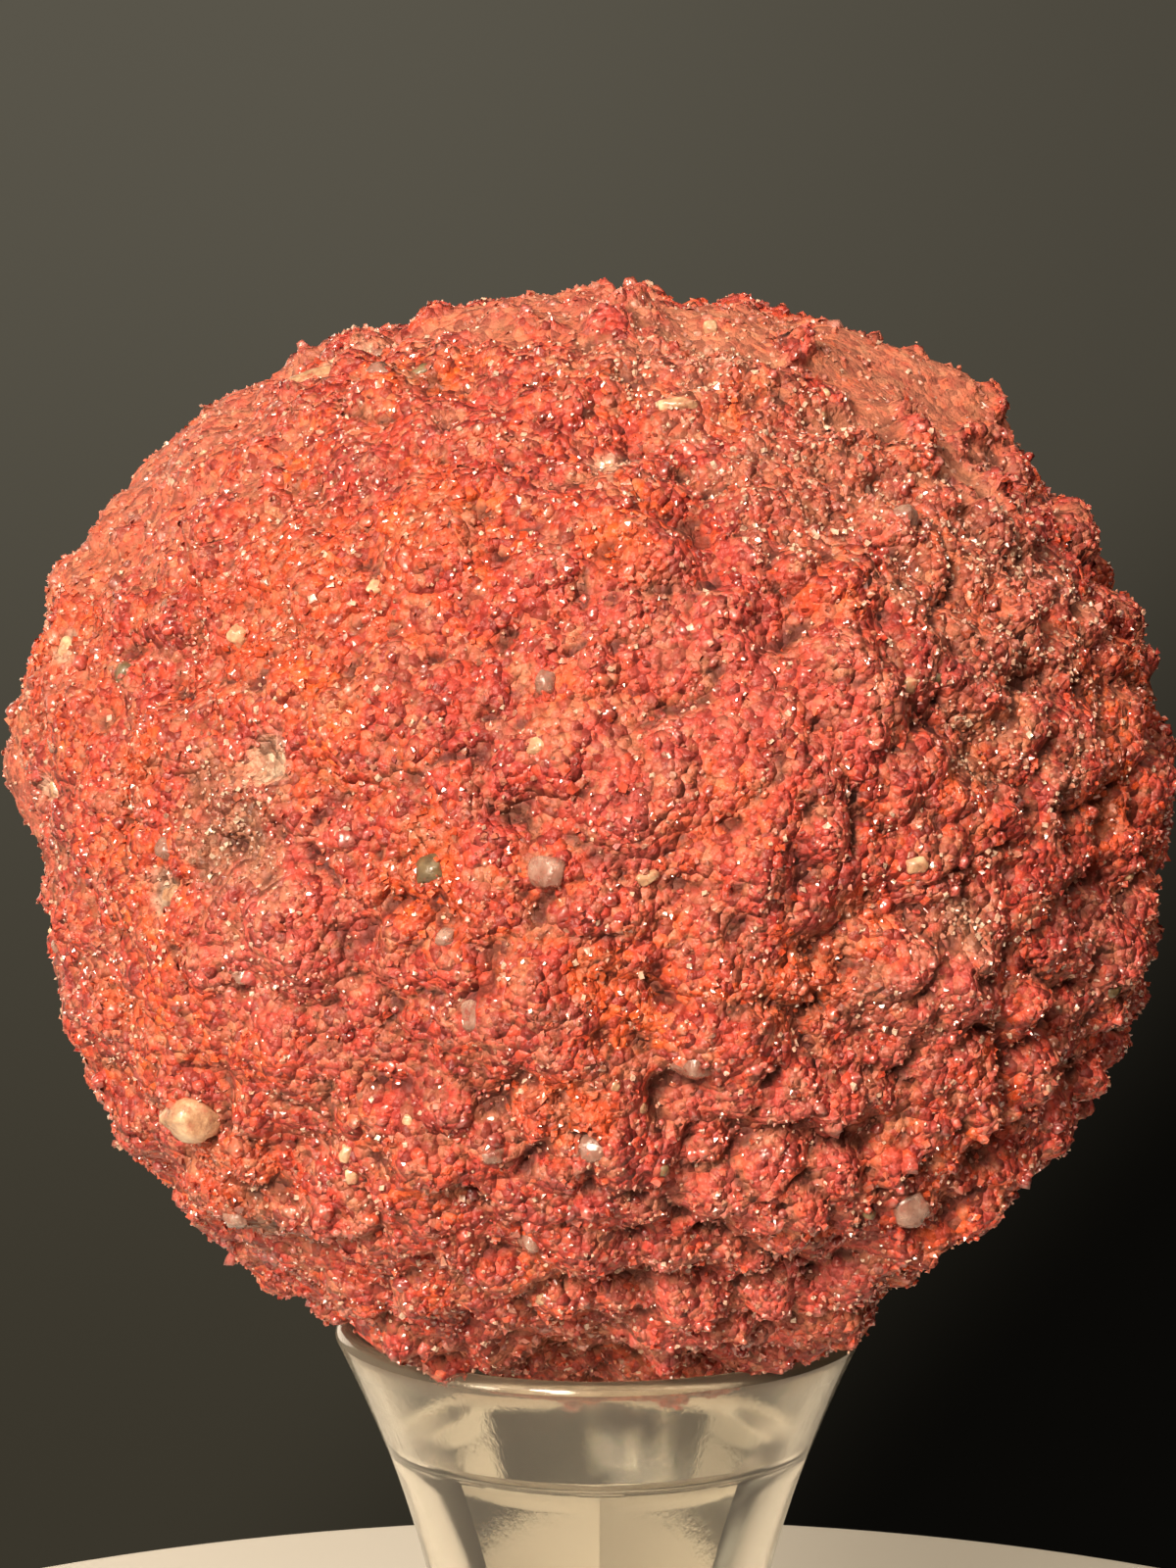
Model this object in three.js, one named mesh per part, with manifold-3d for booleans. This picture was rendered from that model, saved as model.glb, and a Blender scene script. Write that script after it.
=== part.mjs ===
// A near-round cinnabar nodule that rests in the flared mouth of a clear moulded stand.
// Millimetres, +Z up. The front is the -Y side and +X is its right. Z = 0 is the surface that the stand is on,
// and the origin is on that surface, under the middle of the stone.
import * as THREE from "three";
import { mergeVertices } from "three/addons/utils/BufferGeometryUtils.js";
import Module from "manifold-3d";

// Driving dimensions of the stone, before its flats, lumps and hollows
const STONE_WIDTH = 45.8;
const STONE_DEPTH = 45.2;
const STONE_HEIGHT = 44.6;
const STONE_DETAIL = 18;
const FLAT_EDGE = 0.9;
const FRONT_TILT = 4.5;

// Coarse lumps all over the stone: how many, how wide and how high
const LUMP_COUNT = 520;
const LUMP_WIDTH = [4.6, 7.2];
const LUMP_HEIGHT = [0.45, 1.35];
const LUMP_MEAN = 0.62;
const LUMP_SEED = 43;

// Driving dimensions of the stand
const STAND_HEIGHT = 34.4;
const STAND_SEGMENTS = 48;
const FOOT_RADIUS = 12.6;
const FOOT_EDGE = 0.9;
const FOOT_BEVEL = 0.3;
const WAIST_RADIUS = 6.2;
const WAIST_HEIGHT = 17.6;
const RIM_RADIUS = 10.8;
const RIM_WALL = 0.9;
const BOWL_DEPTH = 4.8;
const BORE_RADIUS = 4.1;
const BORE_MOUTH_RADIUS = 7.05;
const BORE_SIDES = 8;

// How sharply the stand spreads from its waist to the mouth and to the foot
const MOUTH_FLARE = 1.75;
const FOOT_FLARE = 2.2;
const FLARE_STEPS = 6;
const RIM_STEPS = 4;
const BOWL_STEPS = 4;

// How far the stand's axis is to the right of the stone's middle
const STAND_OFFSET = 0.6;

// How far the stone's lowest points stay from the rim, so that the two solids stay separate
const REST_GAP = 0.3;
const RIM_SAMPLES = 240;

// A direction from the stone's centre, as seen from the front: around is in degrees anticlockwise from
// the right, and out is in degrees away from the middle of the front, so 180 is the middle of the back.
function toward(around, out) {
  const a = THREE.MathUtils.degToRad(around);
  const o = THREE.MathUtils.degToRad(out);
  const seen = new THREE.Vector3(
    Math.sin(o) * Math.cos(a),
    -Math.cos(o),
    Math.sin(o) * Math.sin(a),
  );
  return seen.applyAxisAngle(
    new THREE.Vector3(1, 0, 0),
    THREE.MathUtils.degToRad(-FRONT_TILT),
  );
}

// Flats where the stone is cut back: a direction, and the flat's distance from the centre.
const FLATS = [
  { name: "top", at: toward(88, 84), distance: 21.7 },
  { name: "top left", at: toward(108, 76), distance: 21.7 },
  { name: "upper right bench", at: toward(66, 84), distance: 22.1 },
  { name: "lower right", at: toward(316, 80), distance: 21.6 },
  { name: "lower left", at: toward(231, 76), distance: 21.8 },
  { name: "left flat", at: toward(193, 82), distance: 21.4 },
  { name: "underside front", at: toward(270, 70), distance: 21.3 },
  { name: "underside left", at: toward(248, 90), distance: 21.3 },
  { name: "underside right", at: toward(293, 92), distance: 21.3 },
  { name: "underside back", at: toward(268, 114), distance: 21.2 },
  { name: "back right", at: toward(20, 128), distance: 21.5 },
  { name: "back left", at: toward(164, 133), distance: 21.7 },
  { name: "back low", at: toward(250, 140), distance: 21.2 },
  { name: "back high", at: toward(84, 142), distance: 21.4 },
];

// Broad swells and hollows: direction, height in millimetres, and half width in degrees.
const SWELLS = [
  { name: "left bump", at: toward(170, 80), height: 0.75, width: 11 },
  { name: "left ledge", at: toward(158, 70), height: 0.45, width: 16 },
  { name: "upper left swell", at: toward(138, 78), height: 0.35, width: 16 },
  { name: "pale patch", at: toward(117, 77), height: 0.75, width: 7 },
  { name: "top knob", at: toward(105, 76), height: 0.75, width: 5.5 },
  { name: "bench corner", at: toward(47, 80), height: 1.45, width: 9 },
  { name: "bench side", at: toward(55, 76), height: 0.5, width: 9 },
  { name: "right knob", at: toward(31, 78), height: 0.6, width: 6 },
  { name: "right shoulder", at: toward(38, 80), height: 0.8, width: 7 },
  { name: "bench back", at: toward(63, 80), height: 0.45, width: 8 },
  { name: "right upper bump", at: toward(19, 78), height: 0.8, width: 7 },
  { name: "right bump", at: toward(9, 80), height: 0.65, width: 7 },
  { name: "right hollow", at: toward(358, 82), height: -0.5, width: 6 },
  { name: "right lower corner", at: toward(346, 78), height: 0.2, width: 8 },
  { name: "low left knob", at: toward(227, 70), height: 0.6, width: 5.5 },
  { name: "left notch", at: toward(190, 80), height: -1.0, width: 7 },
  { name: "middle swell", at: toward(20, 18), height: 0.5, width: 16 },
  { name: "brow", at: toward(84, 27), height: 0.55, width: 9 },
  { name: "cheek", at: toward(31, 27), height: 0.6, width: 7 },
  { name: "low swell", at: toward(295, 36), height: 0.6, width: 8 },
  { name: "right front swell", at: toward(338, 38), height: 0.6, width: 8 },
  { name: "low right shelf", at: toward(312, 50), height: 0.6, width: 8 },
  { name: "left front hollow", at: toward(176, 32), height: -0.5, width: 8 },
  { name: "low left hollow", at: toward(236, 54), height: -0.7, width: 6 },
  { name: "pebble", at: toward(217, 49), height: 0.9, width: 3.6 },
  { name: "quartz grain", at: toward(271, 28), height: 0.6, width: 3.2 },
  { name: "back knuckle", at: toward(120, 112), height: 0.8, width: 9 },
  { name: "back shoulder", at: toward(40, 116), height: 0.7, width: 10 },
  { name: "back hollow", at: toward(330, 120), height: -0.8, width: 9 },
  { name: "back boss", at: toward(300, 155), height: 0.9, width: 10 },
  { name: "back dimple", at: toward(190, 125), height: -0.7, width: 8 },
  { name: "back bulge", at: toward(200, 158), height: 0.7, width: 12 },
];

// Ridges and grooves: the points that each passes, its height (below zero is a groove) and half width in degrees.
const STROKES = [
  {
    name: "right limb groove",
    path: [toward(28, 57), toward(17, 53), toward(8, 58), toward(355, 55), toward(345, 72)],
    height: -0.75,
    width: 3.2,
  },
  {
    name: "right limb ledge",
    path: [toward(30, 66), toward(14, 63), toward(2, 66), toward(352, 66)],
    height: 0.5,
    width: 3.6,
  },
  {
    name: "front groove",
    path: [toward(2, 26), toward(345, 28), toward(331, 28)],
    height: -0.7,
    width: 3.2,
  },
  {
    name: "lower right ridge",
    path: [toward(333, 71), toward(326, 63), toward(318, 56), toward(305, 57), toward(297, 66)],
    height: 0.75,
    width: 5,
  },
  {
    name: "low right crack",
    path: [toward(322, 42), toward(311, 42), toward(300, 35), toward(290, 33)],
    height: -0.6,
    width: 3,
  },
  {
    name: "low crack",
    path: [toward(262, 46), toward(273, 49), toward(283, 47), toward(292, 53)],
    height: -0.65,
    width: 3,
  },
  {
    name: "upper ledge",
    path: [toward(104, 40), toward(88, 46), toward(70, 48), toward(52, 58)],
    height: 0.5,
    width: 4.5,
  },
  {
    name: "upper groove",
    path: [toward(96, 36), toward(80, 38), toward(62, 40), toward(44, 47)],
    height: -0.45,
    width: 3,
  },
  {
    name: "left crease",
    path: [toward(150, 42), toward(172, 50), toward(196, 56)],
    height: -0.5,
    width: 3.4,
  },
  {
    name: "bench step",
    path: [toward(41, 76), toward(38, 68), toward(44, 58)],
    height: -0.6,
    width: 3.4,
  },
  {
    name: "back ridge",
    path: [toward(64, 104), toward(78, 122), toward(110, 138), toward(150, 150)],
    height: 0.6,
    width: 4.5,
  },
  {
    name: "back crack",
    path: [toward(10, 108), toward(352, 132), toward(320, 146), toward(262, 160)],
    height: -0.75,
    width: 3.4,
  },
  {
    name: "back ledge",
    path: [toward(222, 104), toward(214, 122), toward(226, 140)],
    height: 0.55,
    width: 4.5,
  },
  {
    name: "underside crack",
    path: [toward(284, 92), toward(274, 112), toward(281, 130)],
    height: -0.55,
    width: 3.2,
  },
];

// Repeatable pseudo-random numbers from 0 to 1.
function randomFrom(seed) {
  let state = seed;
  return () => {
    state = (Math.imul(state, 1664525) + 1013904223) >>> 0;
    return state / 2 ** 32;
  };
}

// Lumps spread evenly over the ball on a spiral, each moved a little from its place.
function scatteredLumps() {
  const random = randomFrom(LUMP_SEED);
  const goldenTurn = Math.PI * (3 - Math.sqrt(5));
  const meanRadius = STONE_WIDTH / 2;
  const spread = Math.sqrt((4 * Math.PI) / LUMP_COUNT) * 0.55;
  const between = ([low, high]) => low + (high - low) * random();
  return Array.from({ length: LUMP_COUNT }, (_, i) => {
    const z = 1 - (2 * (i + 0.5)) / LUMP_COUNT;
    const ring = Math.sqrt(1 - z * z);
    const turn = i * goldenTurn;
    const centre = new THREE.Vector3(ring * Math.cos(turn), ring * Math.sin(turn), z);
    const shift = new THREE.Vector3(random() - 0.5, random() - 0.5, random() - 0.5);
    centre.addScaledVector(shift, spread).normalize();
    return {
      at: centre,
      halfWidth: between(LUMP_WIDTH) / 2 / meanRadius,
      height: between(LUMP_HEIGHT),
    };
  });
}

// The lesser of two lengths, with the corner between them rounded over the width given.
function roundedMin(a, b, width) {
  const t = THREE.MathUtils.clamp(0.5 + (b - a) / (2 * width), 0, 1);
  return THREE.MathUtils.lerp(b, a, t) - width * t * (1 - t);
}

// 1 at the middle, falling smoothly to 0 at the edge.
function bell(fraction) {
  return fraction < 1 ? (1 - fraction * fraction) ** 2 : 0;
}

// The angle in radians from a direction to the nearest point of a path over the ball.
function angleToPath(direction, path) {
  let least = Math.PI;
  for (let i = 0; i < path.length - 1; i++) {
    const line = new THREE.Line3(path[i], path[i + 1]);
    const nearest = line.closestPointToPoint(direction, true, new THREE.Vector3());
    least = Math.min(least, direction.angleTo(nearest));
  }
  return least;
}

const LUMPS = scatteredLumps();

// The stone's radius in a direction: a rounded block cut back by its flats, with everything that stands
// out of it or is sunk into it.
function stoneRadius(direction) {
  const { x, y, z } = direction;
  let radius =
    1 /
    Math.hypot(x / (STONE_WIDTH / 2), y / (STONE_DEPTH / 2), z / (STONE_HEIGHT / 2));
  for (const flat of FLATS) {
    const facing = direction.dot(flat.at);
    if (facing > 0.5) radius = roundedMin(radius, flat.distance / facing, FLAT_EDGE);
  }
  for (const swell of SWELLS) {
    const away = direction.angleTo(swell.at);
    radius += swell.height * bell(away / THREE.MathUtils.degToRad(swell.width));
  }
  for (const stroke of STROKES) {
    const away = angleToPath(direction, stroke.path);
    radius += stroke.height * bell(away / THREE.MathUtils.degToRad(stroke.width));
  }
  let highest = 0;
  for (const lump of LUMPS) {
    const away = direction.angleTo(lump.at);
    highest = Math.max(highest, lump.height * bell(away / (lump.halfWidth * 1.35)));
  }
  return radius + highest - LUMP_MEAN;
}

// A closed ball of near-equal triangles whose points are moved to the stone's surface.
function stoneGeometry() {
  const ball = new THREE.IcosahedronGeometry(1, STONE_DETAIL);
  ball.deleteAttribute("normal");
  ball.deleteAttribute("uv");
  const geometry = mergeVertices(ball, 1e-5);
  const points = geometry.getAttribute("position");
  const direction = new THREE.Vector3();
  for (let i = 0; i < points.count; i++) {
    direction.fromBufferAttribute(points, i).normalize();
    const radius = stoneRadius(direction);
    points.setXYZ(i, direction.x * radius, direction.y * radius, direction.z * radius);
  }
  geometry.computeBoundingBox();
  const middle = geometry.boundingBox.getCenter(new THREE.Vector3());
  geometry.translate(-middle.x, -middle.y, 0);
  geometry.computeVertexNormals();
  return geometry;
}

const wasm = await Module();
wasm.setup();

// A closed three.js geometry as a solid that can be joined and cut.
function solidFrom(geometry) {
  const bare = geometry.clone();
  bare.deleteAttribute("normal");
  bare.deleteAttribute("uv");
  const merged = mergeVertices(bare, 1e-4);
  return new wasm.Manifold(
    new wasm.Mesh({
      numProp: 3,
      vertProperties: merged.getAttribute("position").array,
      triVerts: new Uint32Array(merged.index.array),
    }),
  );
}

// A solid's triangles as a three.js geometry.
function geometryFrom(solid) {
  const mesh = solid.getMesh();
  const geometry = new THREE.BufferGeometry();
  geometry.setAttribute("position", new THREE.BufferAttribute(mesh.vertProperties, 3));
  geometry.setIndex(new THREE.BufferAttribute(mesh.triVerts, 1));
  geometry.computeVertexNormals();
  return geometry;
}

// A line that spreads from the waist to the wider end given.
function flareLine(startRadius, endRadius, endHeight, flare) {
  return Array.from({ length: FLARE_STEPS + 1 }, (_, i) => {
    const t = i / FLARE_STEPS;
    const radius = startRadius + (endRadius - startRadius) * t ** flare;
    return new THREE.Vector2(radius, THREE.MathUtils.lerp(WAIST_HEIGHT, endHeight, t));
  });
}

// The rounded top edge of the wall, from its outer to its inner side.
function rimLine() {
  const middle = RIM_RADIUS - RIM_WALL / 2;
  const round = new THREE.EllipseCurve(
    middle,
    STAND_HEIGHT - RIM_WALL / 2,
    RIM_WALL / 2,
    RIM_WALL / 2,
    0,
    Math.PI,
  );
  return round.getPoints(RIM_STEPS).slice(1);
}

// The inside of the bowl, an even wall in from the outside, from the rim down to its floor.
function bowlLine(rimBase, bowlFloor) {
  return Array.from({ length: BOWL_STEPS }, (_, i) => {
    const height = THREE.MathUtils.lerp(rimBase, bowlFloor, (i + 1) / BOWL_STEPS);
    const t = (height - WAIST_HEIGHT) / (rimBase - WAIST_HEIGHT);
    const outside = WAIST_RADIUS + (RIM_RADIUS - WAIST_RADIUS) * t ** MOUTH_FLARE;
    return new THREE.Vector2(outside - RIM_WALL, height);
  });
}

// The stand: a turned body with a bowl in its mouth and an eight-sided bore down to the foot. The bore
// begins at a ledge, which is the bowl's floor, narrows with the wall to the waist and is straight below it.
function standGeometry() {
  const bowlFloor = STAND_HEIGHT - BOWL_DEPTH;
  const rimBase = STAND_HEIGHT - RIM_WALL / 2;
  const profile = [
    new THREE.Vector2(0, 0),
    new THREE.Vector2(FOOT_RADIUS - FOOT_BEVEL, 0),
    ...flareLine(WAIST_RADIUS, FOOT_RADIUS, FOOT_EDGE, FOOT_FLARE).reverse(),
    ...flareLine(WAIST_RADIUS, RIM_RADIUS, rimBase, MOUTH_FLARE).slice(1),
    ...rimLine(),
    ...bowlLine(rimBase, bowlFloor),
    new THREE.Vector2(0, bowlFloor),
  ];
  const body = new THREE.LatheGeometry(profile, STAND_SEGMENTS);
  const boreProfile = [
    new THREE.Vector2(0, -STAND_HEIGHT),
    new THREE.Vector2(BORE_RADIUS, -STAND_HEIGHT),
    ...flareLine(BORE_RADIUS, BORE_MOUTH_RADIUS, bowlFloor, MOUTH_FLARE),
    new THREE.Vector2(BORE_MOUTH_RADIUS, 2 * STAND_HEIGHT),
    new THREE.Vector2(0, 2 * STAND_HEIGHT),
  ];
  const bore = new THREE.LatheGeometry(boreProfile, BORE_SIDES);
  const cut = solidFrom(body).subtract(solidFrom(bore));
  const geometry = geometryFrom(cut);
  geometry.rotateX(Math.PI / 2);
  return geometry;
}

// The height for the stone's centre at which its underside just clears the rim all the way round.
function restingHeight(stone) {
  const sight = new THREE.Raycaster();
  const up = new THREE.Vector3(0, 0, 1);
  const rim = [
    { radius: RIM_RADIUS, top: STAND_HEIGHT - RIM_WALL / 2 },
    { radius: RIM_RADIUS - RIM_WALL / 2, top: STAND_HEIGHT },
    { radius: RIM_RADIUS - RIM_WALL, top: STAND_HEIGHT - RIM_WALL / 2 },
  ];
  let height = 0;
  for (let i = 0; i < RIM_SAMPLES; i++) {
    const turn = (2 * Math.PI * i) / RIM_SAMPLES;
    for (const { radius, top } of rim) {
      const x = STAND_OFFSET + radius * Math.cos(turn);
      const y = radius * Math.sin(turn);
      sight.set(new THREE.Vector3(x, y, -STONE_HEIGHT), up);
      const [underside] = sight.intersectObject(stone);
      height = Math.max(height, top + REST_GAP - underside.point.z);
    }
  }
  return height;
}

const cinnabar = new THREE.Mesh(
  stoneGeometry(),
  new THREE.MeshStandardMaterial({ color: 0xb23a2e, roughness: 0.5, metalness: 0 }),
);
cinnabar.name = "cinnabar";
cinnabar.position.z = restingHeight(cinnabar);

const stand = new THREE.Mesh(
  standGeometry(),
  new THREE.MeshStandardMaterial({
    color: 0xe6e0d2,
    roughness: 0.15,
    metalness: 0,
    transparent: true,
    opacity: 0.45,
  }),
);
stand.name = "stand";
stand.position.x = STAND_OFFSET;

const part = new THREE.Group();
part.add(cinnabar, stand);

export default part;
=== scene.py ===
"""A near-round cinnabar nodule resting in the flared mouth of a clear moulded stand.

Places and sizes are in metres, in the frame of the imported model: Z is up, the front is the -Y side and the
right is +X. Sizes that a person would read off a ruler are written in millimetres and named so.
"""
import logging
import math
from dataclasses import dataclass
from enum import Enum

import bmesh
import bpy
import numpy as np
from mathutils import Matrix, Vector, noise
from mathutils.bvhtree import BVHTree
from mathutils.kdtree import KDTree


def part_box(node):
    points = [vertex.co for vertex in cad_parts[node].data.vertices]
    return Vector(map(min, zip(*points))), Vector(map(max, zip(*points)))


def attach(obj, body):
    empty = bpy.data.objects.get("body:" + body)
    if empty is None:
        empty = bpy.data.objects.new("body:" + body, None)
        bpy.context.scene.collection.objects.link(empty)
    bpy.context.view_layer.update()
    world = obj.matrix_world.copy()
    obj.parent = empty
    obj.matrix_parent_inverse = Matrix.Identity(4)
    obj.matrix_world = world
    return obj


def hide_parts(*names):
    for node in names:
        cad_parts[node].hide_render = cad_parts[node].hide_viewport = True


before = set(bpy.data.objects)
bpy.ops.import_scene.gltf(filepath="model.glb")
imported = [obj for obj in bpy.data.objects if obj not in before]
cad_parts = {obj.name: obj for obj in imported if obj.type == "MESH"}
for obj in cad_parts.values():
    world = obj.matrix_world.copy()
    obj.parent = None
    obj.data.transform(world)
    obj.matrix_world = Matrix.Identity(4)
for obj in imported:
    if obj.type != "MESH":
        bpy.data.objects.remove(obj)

MM = 0.001
FRONT_TILT = 4.5
BODY = "root"
BAKE_MAP = "OFBake"

log = logging.getLogger("cinnabar")


def toward(around: float, out: float) -> np.ndarray:
    """A direction from the stone's middle, as seen from the front.

    Args:
        around: degrees anticlockwise from the right.
        out: degrees away from the middle of the front, so 180 is the middle of the back.

    Returns:
        The unit direction in the model's frame.
    """
    a, o, tilt = math.radians(around), math.radians(out), math.radians(-FRONT_TILT)
    x, y, z = math.sin(o) * math.cos(a), -math.cos(o), math.sin(o) * math.sin(a)
    return np.array([x, y * math.cos(tilt) - z * math.sin(tilt), y * math.sin(tilt) + z * math.cos(tilt)])


def paint(code: str) -> tuple[float, float, float, float]:
    """A colour written as six hex digits on the screen, as the linear values that a shader takes.

    Args:
        code: the six digits, two each for red, green and blue.

    Returns:
        Linear red, green and blue, and an alpha of 1.
    """
    def linear(value: float) -> float:
        """One channel made linear."""
        return value / 12.92 if value <= 0.04045 else ((value + 0.055) / 1.055) ** 2.4

    return (*(linear(int(code[i : i + 2], 16) / 255) for i in (0, 2, 4)), 1.0)


class Wire:
    """A number that flows through a material's nodes and takes part in Python expressions."""

    def __init__(self, sheet: "NodeSheet", socket: bpy.types.NodeSocket) -> None:
        """Keeps the socket that the number comes out of, and the sheet that it is on."""
        self.sheet = sheet
        self.socket = socket

    def _math(self, operation: str, *values: "Wire | float") -> "Wire":
        """A Math node on the values, in their order."""
        return self.sheet.add("ShaderNodeMath", {"operation": operation}, dict(enumerate(values)))

    def __add__(self, other: "Wire | float") -> "Wire":
        """The sum."""
        return self._math("ADD", self, other)

    def __radd__(self, other: float) -> "Wire":
        """The sum, with the number first."""
        return self._math("ADD", other, self)

    def __sub__(self, other: "Wire | float") -> "Wire":
        """The difference."""
        return self._math("SUBTRACT", self, other)

    def __rsub__(self, other: float) -> "Wire":
        """The number less this."""
        return self._math("SUBTRACT", other, self)

    def __mul__(self, other: "Wire | float") -> "Wire":
        """The product."""
        return self._math("MULTIPLY", self, other)

    def __rmul__(self, other: float) -> "Wire":
        """The product, with the number first."""
        return self._math("MULTIPLY", other, self)

    def __truediv__(self, other: "Wire | float") -> "Wire":
        """The quotient."""
        return self._math("DIVIDE", self, other)

    def __pow__(self, other: float) -> "Wire":
        """This to a power."""
        return self._math("POWER", self, other)

    def beside(self, name: str) -> "Wire":
        """Another output of the same node."""
        return Wire(self.sheet, self.socket.node.outputs[name])

    def above(self, level: float) -> "Wire":
        """1 where this is over the level, else 0."""
        return self._math("GREATER_THAN", self, level)

    def larger(self, other: "Wire | float") -> "Wire":
        """The larger of the two."""
        return self._math("MAXIMUM", self, other)

    def rising(self, low: float, high: float) -> "Wire":
        """0 below low, 1 above high, and a smooth rise between them, or a fall where low is the higher."""
        settings = {"interpolation_type": "SMOOTHSTEP"}
        return self.sheet.add("ShaderNodeMapRange", settings, {0: self, 1: low, 2: high, 3: 0.0, 4: 1.0})


class NodeSheet:
    """A material or world with its node tree, and the one method that adds nodes to it."""

    def __init__(self, owner: bpy.types.Material | bpy.types.World) -> None:
        """Clears the nodes of a new material, or of a new world."""
        self.owner = owner
        owner.use_nodes = True
        self.tree = owner.node_tree
        self.tree.nodes.clear()

    def add(self, kind: str, settings: dict, sockets: dict, out: int | str = 0) -> Wire | None:
        """Adds a node, sets it up and joins it to what feeds it.

        Args:
            kind: the node's type.
            settings: its own settings, which are set first. "stops" gives a ramp's places and colours.
            sockets: values or wires for its inputs, by name or number.
            out: the output that is wanted, by name or number.

        Returns:
            A wire from that output, or None from a node that has no outputs.
        """
        node = self.tree.nodes.new(kind)
        for key, value in settings.items():
            if key == "stops":
                self._set_stops(node.color_ramp, value)
            else:
                setattr(node, key, value)
        for key, value in sockets.items():
            if isinstance(value, Wire):
                self.tree.links.new(value.socket, node.inputs[key])
            else:
                node.inputs[key].default_value = value
        return Wire(self, node.outputs[out]) if node.outputs else None

    def _set_stops(self, ramp: bpy.types.ColorRamp, stops: list[tuple[float, tuple]]) -> None:
        """Gives a ramp these stops and no others.

        Args:
            ramp: the ramp of a Color Ramp node.
            stops: each stop's place from 0 to 1, and its colour.
        """
        while len(ramp.elements) < len(stops):
            ramp.elements.new(1.0)
        for element, (place, colour) in zip(ramp.elements, stops):
            element.position = place
            element.color = colour

    def millimetres(self) -> Wire:
        """The point being shaded, in millimetres in the model's frame."""
        metres = self.add("ShaderNodeTexCoord", {}, {}, out="Object")
        return self.add("ShaderNodeVectorMath", {"operation": "SCALE"}, {0: metres, "Scale": 1 / MM})

    def attribute(self, name: str) -> Wire:
        """A number that the mesh carries at each point."""
        return self.add("ShaderNodeAttribute", {"attribute_name": name}, {}, out="Fac")

    def parts(self, colour: Wire) -> tuple[Wire, Wire]:
        """The red and green of a colour, as numbers."""
        red = self.add("ShaderNodeSeparateColor", {}, {0: colour})
        return red, red.beside("Green")

    def stretched(self, at: Wire, factors: tuple[float, float, float]) -> Wire:
        """A place with each of its numbers made larger or smaller."""
        return self.add("ShaderNodeVectorMath", {"operation": "MULTIPLY"}, {0: at, 1: factors})

    def ramp(self, value: Wire, stops: list[tuple[float, tuple]]) -> Wire:
        """The colour that a number picks from a row of stops."""
        return self.add("ShaderNodeValToRGB", {"stops": stops}, {0: value})

    def mix(self, factor: Wire | float, first: Wire | tuple, second: Wire | tuple, blend: str = "MIX") -> Wire:
        """Two colours mixed.

        Args:
            factor: how much of the second there is.
            first: the colour at 0.
            second: the colour at 1.
            blend: how the second is laid on the first.

        Returns:
            The mixed colour.
        """
        settings = {"data_type": "RGBA", "blend_type": blend}
        return self.add("ShaderNodeMix", settings, {0: factor, 6: first, 7: second}, out=2)

    def noise(self, at: Wire, per_mm: float, detail: float = 2.0, rough: float = 0.5) -> Wire:
        """Soft random variation from 0 to 1.

        Args:
            at: where to read it, in millimetres.
            per_mm: how many blobs there are to a millimetre.
            detail: how many finer layers it has.
            rough: how strong each finer layer is.

        Returns:
            The value.
        """
        sockets = {"Vector": at, "Scale": per_mm, "Detail": detail, "Roughness": rough}
        return self.add("ShaderNodeTexNoise", {}, sockets)

    def cells(self, at: Wire, per_mm: float) -> Wire:
        """Random cells packed side by side, like grains.

        Args:
            at: where to read them, in millimetres.
            per_mm: how many cells there are to a millimetre.

        Returns:
            The distance from each cell's middle. The same node gives its Color and Position.
        """
        return self.add("ShaderNodeTexVoronoi", {}, {"Vector": at, "Scale": per_mm})

    def facets(self, at: Wire, per_mm: float) -> Wire:
        """A height that is a flat, randomly tilted plane inside each cell, like the faces of small crystals.

        Args:
            at: where to read it, in millimetres.
            per_mm: how many faces there are to a millimetre.

        Returns:
            The height, in millimetres at a slope of 1.
        """
        cell = self.cells(at, per_mm)
        middle, chance = cell.beside("Position"), cell.beside("Color")
        away = self.add("ShaderNodeVectorMath", {"operation": "SUBTRACT"}, {0: at, 1: middle})
        tilt = self.add("ShaderNodeVectorMath", {"operation": "SUBTRACT"}, {0: chance, 1: (0.5, 0.5, 0.5)})
        return self.add("ShaderNodeVectorMath", {"operation": "DOT_PRODUCT"}, {0: away, 1: tilt}, out="Value")

    def bump(self, height: Wire, strength: float = 1.0) -> Wire:
        """A normal bent by a height in millimetres."""
        return self.add("ShaderNodeBump", {}, {"Strength": strength, "Distance": MM, "Height": height})

    def finish(self, sockets: dict) -> bpy.types.Material:
        """Closes the material with one Principled shader.

        Args:
            sockets: its sockets, as values or wires.

        Returns:
            The material.
        """
        surface = self.add("ShaderNodeBsdfPrincipled", {}, sockets)
        self.add("ShaderNodeOutputMaterial", {}, {"Surface": surface})
        return self.owner


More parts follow.
